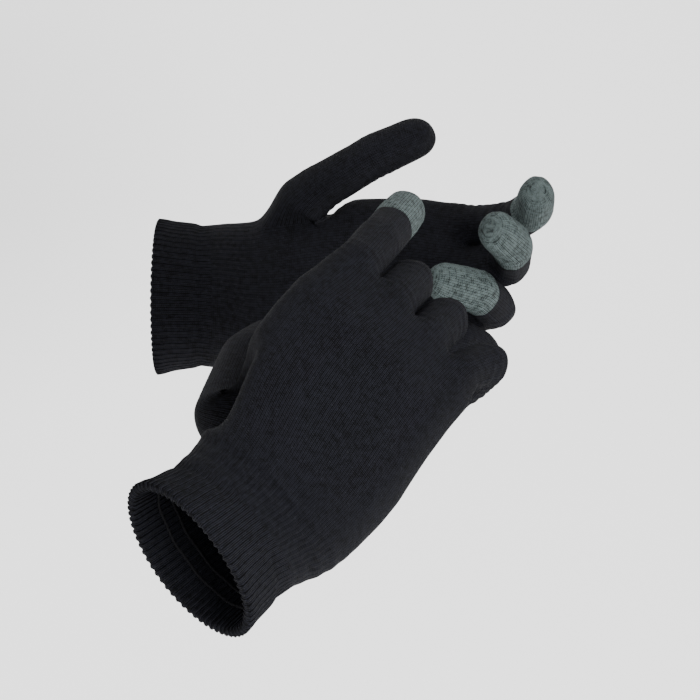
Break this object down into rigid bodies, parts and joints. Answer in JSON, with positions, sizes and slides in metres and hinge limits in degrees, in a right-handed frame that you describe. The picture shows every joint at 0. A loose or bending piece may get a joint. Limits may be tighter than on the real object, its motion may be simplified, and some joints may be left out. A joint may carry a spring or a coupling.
{
  "type": "touchscreen gloves",
  "caption": "Pair of dark fine-knit gloves in a worn shape, with grey conductive fingertips, ribbed elastic cuffs and folding digits.",
  "frame": {"origin": "centre of the right cuff mouth, in the plane of its hem rim", "axes": "+Y along the right cuff towards the fingers, +Z out of the back of the right hand, the right thumb towards -X"},
  "size_m": [0.1842, 0.3054, 0.2362],
  "materials": {
    "knit": "matte fine knit",
    "conductive_knit": "matte fine knit with a faint metallic thread",
    "elastic": "matte covered elastic thread"
  },
  "bodies": {
    "right_cuff": {"right_cuff_hem": "knit", "right_cuff": "knit", "right_cuff_elastic_1": "elastic", "right_cuff_elastic_2": "elastic"},
    "right_hand": {"right_palm": "knit"},
    "right_knuckles": {"right_knuckle_band": "knit"},
    "right_thumb_base": {"right_thumb_base": "knit"},
    "right_thumb_tip": {"right_thumb_tip": "knit"},
    "right_index_base": {"right_index_base": "knit"},
    "right_index_middle": {"right_index_middle": "knit"},
    "right_index_tip": {"right_index_tip": "conductive_knit"},
    "right_middle_base": {"right_middle_base": "knit"},
    "right_middle_middle": {"right_middle_middle": "knit"},
    "right_middle_tip": {"right_middle_tip": "conductive_knit"},
    "right_ring_base": {"right_ring_base": "knit"},
    "right_ring_middle": {"right_ring_middle": "knit"},
    "right_ring_tip": {"right_ring_tip": "conductive_knit"},
    "right_little_base": {"right_little_base": "knit"},
    "right_little_middle": {"right_little_middle": "knit"},
    "right_little_tip": {"right_little_tip": "knit"},
    "left_cuff": {"left_cuff_hem": "knit", "left_cuff": "knit", "left_cuff_elastic_1": "elastic", "left_cuff_elastic_2": "elastic"},
    "left_hand": {"left_palm": "knit"},
    "left_knuckles": {"left_knuckle_band": "knit"},
    "left_thumb_base": {"left_thumb_base": "knit"},
    "left_thumb_tip": {"left_thumb_tip": "knit"},
    "left_index_base": {"left_index_base": "knit"},
    "left_index_middle": {"left_index_middle": "knit"},
    "left_index_tip": {"left_index_tip": "conductive_knit"},
    "left_middle_base": {"left_middle_base": "knit"},
    "left_middle_middle": {"left_middle_middle": "knit"},
    "left_middle_tip": {"left_middle_tip": "conductive_knit"},
    "left_ring_base": {"left_ring_base": "knit"},
    "left_ring_middle": {"left_ring_middle": "knit"},
    "left_ring_tip": {"left_ring_tip": "conductive_knit"},
    "left_little_base": {"left_little_base": "knit"},
    "left_little_middle": {"left_little_middle": "knit"},
    "left_little_tip": {"left_little_tip": "knit"}
  },
  "joints": [
    {"name": "right_wrist", "type": "hinge", "parent": "right_cuff", "child": "right_hand", "pos_m": [0, 0.042, 0], "axis": [-1, 0, 0], "range_deg": [-6, 31]},
    {"name": "right_thumb_root", "type": "hinge", "parent": "right_hand", "child": "right_thumb_base", "pos_m": [-0.0521, 0.07733, -0.02198], "axis": [-0.0717, -0.4209, -0.9043], "range_deg": [-17, 6]},
    {"name": "right_thumb_tip_fold", "type": "hinge", "parent": "right_thumb_base", "child": "right_thumb_tip", "pos_m": [-0.06387, 0.1066, -0.03467], "axis": [-0.0717, -0.4209, -0.9043], "range_deg": [-20, 5]},
    {"name": "right_knuckles", "type": "hinge", "parent": "right_hand", "child": "right_knuckles", "pos_m": [-0.02508, 0.1224, 0.03519], "axis": [-0.9925, -0.1152, -0.0397], "range_deg": [-10, 15]},
    {"name": "right_index_root", "type": "hinge", "parent": "right_knuckles", "child": "right_index_base", "pos_m": [-0.06292, 0.14518, 0.03594], "axis": [-0.9925, -0.1152, -0.0397], "range_deg": [-37, 8]},
    {"name": "right_index_knuckle", "type": "hinge", "parent": "right_index_base", "child": "right_index_middle", "pos_m": [-0.0663, 0.16977, 0.02531], "axis": [-0.9888, -0.1471, -0.026], "range_deg": [-6, 74]},
    {"name": "right_index_tip_fold", "type": "hinge", "parent": "right_index_middle", "child": "right_index_tip", "pos_m": [-0.06954, 0.194, 0.01166], "axis": [-0.9888, -0.1471, -0.026], "range_deg": [-3, 41]},
    {"name": "right_middle_root", "type": "hinge", "parent": "right_knuckles", "child": "right_middle_base", "pos_m": [-0.04009, 0.14781, 0.03695], "axis": [-0.9925, -0.1152, -0.0397], "range_deg": [-41, 4]},
    {"name": "right_middle_knuckle", "type": "hinge", "parent": "right_middle_base", "child": "right_middle_middle", "pos_m": [-0.04272, 0.17528, 0.02283], "axis": [-0.9925, -0.1152, -0.0397], "range_deg": [-77, 3]},
    {"name": "right_middle_tip_fold", "type": "hinge", "parent": "right_middle_middle", "child": "right_middle_tip", "pos_m": [-0.04066, 0.1679, -0.00721], "axis": [-0.9925, -0.1152, -0.0397], "range_deg": [-42, 2]},
    {"name": "right_ring_root", "type": "hinge", "parent": "right_knuckles", "child": "right_ring_base", "pos_m": [-0.01716, 0.15049, 0.03777], "axis": [-0.9925, -0.1152, -0.0397], "range_deg": [-39, 6]},
    {"name": "right_ring_knuckle", "type": "hinge", "parent": "right_ring_base", "child": "right_ring_middle", "pos_m": [-0.01913, 0.17578, 0.02591], "axis": [-0.9939, -0.0995, -0.0471], "range_deg": [-77, 3]},
    {"name": "right_ring_tip_fold", "type": "hinge", "parent": "right_ring_middle", "child": "right_ring_tip", "pos_m": [-0.01713, 0.16966, -0.00339], "axis": [-0.9939, -0.0995, -0.0471], "range_deg": [-42, 2]},
    {"name": "right_little_root", "type": "hinge", "parent": "right_knuckles", "child": "right_little_base", "pos_m": [0.00448, 0.15307, 0.03824], "axis": [-0.9925, -0.1152, -0.0397], "range_deg": [-31, 14]},
    {"name": "right_little_knuckle", "type": "hinge", "parent": "right_little_base", "child": "right_little_middle", "pos_m": [0.00959, 0.17562, 0.03182], "axis": [-0.9744, 0.1842, -0.1287], "range_deg": [-74, 6]},
    {"name": "right_little_tip_fold", "type": "hinge", "parent": "right_little_middle", "child": "right_little_tip", "pos_m": [0.01253, 0.1752, 0.00901], "axis": [-0.9744, 0.1842, -0.1287], "range_deg": [-40, 4]},
    {"name": "left_wrist", "type": "hinge", "parent": "left_cuff", "child": "left_hand", "pos_m": [-0.08843, 0.19071, -0.14257], "axis": [0.7677, -0.636, -0.0779], "range_deg": [-25, 12]},
    {"name": "left_thumb_root", "type": "hinge", "parent": "left_hand", "child": "left_thumb_base", "pos_m": [-0.11407, 0.24357, -0.1041], "axis": [0.4777, 0.5966, -0.6449], "range_deg": [-19, 2.5]},
    {"name": "left_thumb_tip_fold", "type": "hinge", "parent": "left_thumb_base", "child": "left_thumb_tip", "pos_m": [-0.11047, 0.26701, -0.07974], "axis": [0.4777, 0.5966, -0.6449], "range_deg": [-8, 17]},
    {"name": "left_knuckles", "type": "hinge", "parent": "left_hand", "child": "left_knuckles", "pos_m": [-0.03562, 0.25481, -0.1047], "axis": [0.6904, -0.7105, -0.136], "range_deg": [-15, 10]},
    {"name": "left_index_root", "type": "hinge", "parent": "left_knuckles", "child": "left_index_base", "pos_m": [-0.04472, 0.29039, -0.08015], "axis": [0.6904, -0.7105, -0.136], "range_deg": [-19, 26]},
    {"name": "left_index_knuckle", "type": "hinge", "parent": "left_index_base", "child": "left_index_middle", "pos_m": [-0.03274, 0.29902, -0.05755], "axis": [0.7063, -0.6998, -0.1069], "range_deg": [-38, 42]},
    {"name": "left_index_tip_fold", "type": "hinge", "parent": "left_index_middle", "child": "left_index_tip", "pos_m": [-0.03247, 0.29507, -0.02983], "axis": [0.7063, -0.6998, -0.1069], "range_deg": [-20, 24]},
    {"name": "left_middle_root", "type": "hinge", "parent": "left_knuckles", "child": "left_middle_base", "pos_m": [-0.0288, 0.2741, -0.08335], "axis": [0.6904, -0.7105, -0.136], "range_deg": [-25, 20]},
    {"name": "left_middle_knuckle", "type": "hinge", "parent": "left_middle_base", "child": "left_middle_middle", "pos_m": [-0.01691, 0.2819, -0.0558], "axis": [0.7042, -0.7021, -0.1051], "range_deg": [-52, 28]},
    {"name": "left_middle_tip_fold", "type": "hinge", "parent": "left_middle_middle", "child": "left_middle_tip", "pos_m": [-0.0242, 0.27042, -0.02794], "axis": [0.7042, -0.7021, -0.1051], "range_deg": [-28, 16]},
    {"name": "left_ring_root", "type": "hinge", "parent": "left_knuckles", "child": "left_ring_base", "pos_m": [-0.01289, 0.25763, -0.08643], "axis": [0.6904, -0.7105, -0.136], "range_deg": [-29, 16]},
    {"name": "left_ring_knuckle", "type": "hinge", "parent": "left_ring_base", "child": "left_ring_middle", "pos_m": [-0.00301, 0.26301, -0.06078], "axis": [0.6967, -0.7073, -0.1201], "range_deg": [-72, 8]},
    {"name": "left_ring_tip_fold", "type": "hinge", "parent": "left_ring_middle", "child": "left_ring_tip", "pos_m": [-0.01756, 0.24538, -0.04136], "axis": [0.6967, -0.7073, -0.1201], "range_deg": [-39, 5]},
    {"name": "left_little_root", "type": "hinge", "parent": "left_knuckles", "child": "left_little_base", "pos_m": [0.00199, 0.24193, -0.0891], "axis": [0.6904, -0.7105, -0.136], "range_deg": [-37, 8]},
    {"name": "left_little_knuckle", "type": "hinge", "parent": "left_little_base", "child": "left_little_middle", "pos_m": [0.00887, 0.24363, -0.06617], "axis": [0.6855, -0.7118, -0.1527], "range_deg": [-74, 6]},
    {"name": "left_little_tip_fold", "type": "hinge", "parent": "left_little_middle", "child": "left_little_tip", "pos_m": [-0.00411, 0.22863, -0.05453], "axis": [0.6855, -0.7118, -0.1527], "range_deg": [-40, 4]},
    {"name": "gloves_apart", "type": "slide", "parent": "right_cuff", "child": "left_cuff", "axis": [0, 1, 0], "range_m": [0, 0.12]}
  ],
  "couplings": [
    {"joint": "right_index_tip_fold", "follows": "right_index_knuckle", "ratio": 0.5},
    {"joint": "right_middle_tip_fold", "follows": "right_middle_knuckle", "ratio": 0.545},
    {"joint": "right_ring_tip_fold", "follows": "right_ring_knuckle", "ratio": 0.545},
    {"joint": "right_little_tip_fold", "follows": "right_little_knuckle", "ratio": 0.54},
    {"joint": "left_index_tip_fold", "follows": "left_index_knuckle", "ratio": 0.526},
    {"joint": "left_middle_tip_fold", "follows": "left_middle_knuckle", "ratio": 0.538},
    {"joint": "left_ring_tip_fold", "follows": "left_ring_knuckle", "ratio": 0.541},
    {"joint": "left_little_tip_fold", "follows": "left_little_knuckle", "ratio": 0.54}
  ]
}
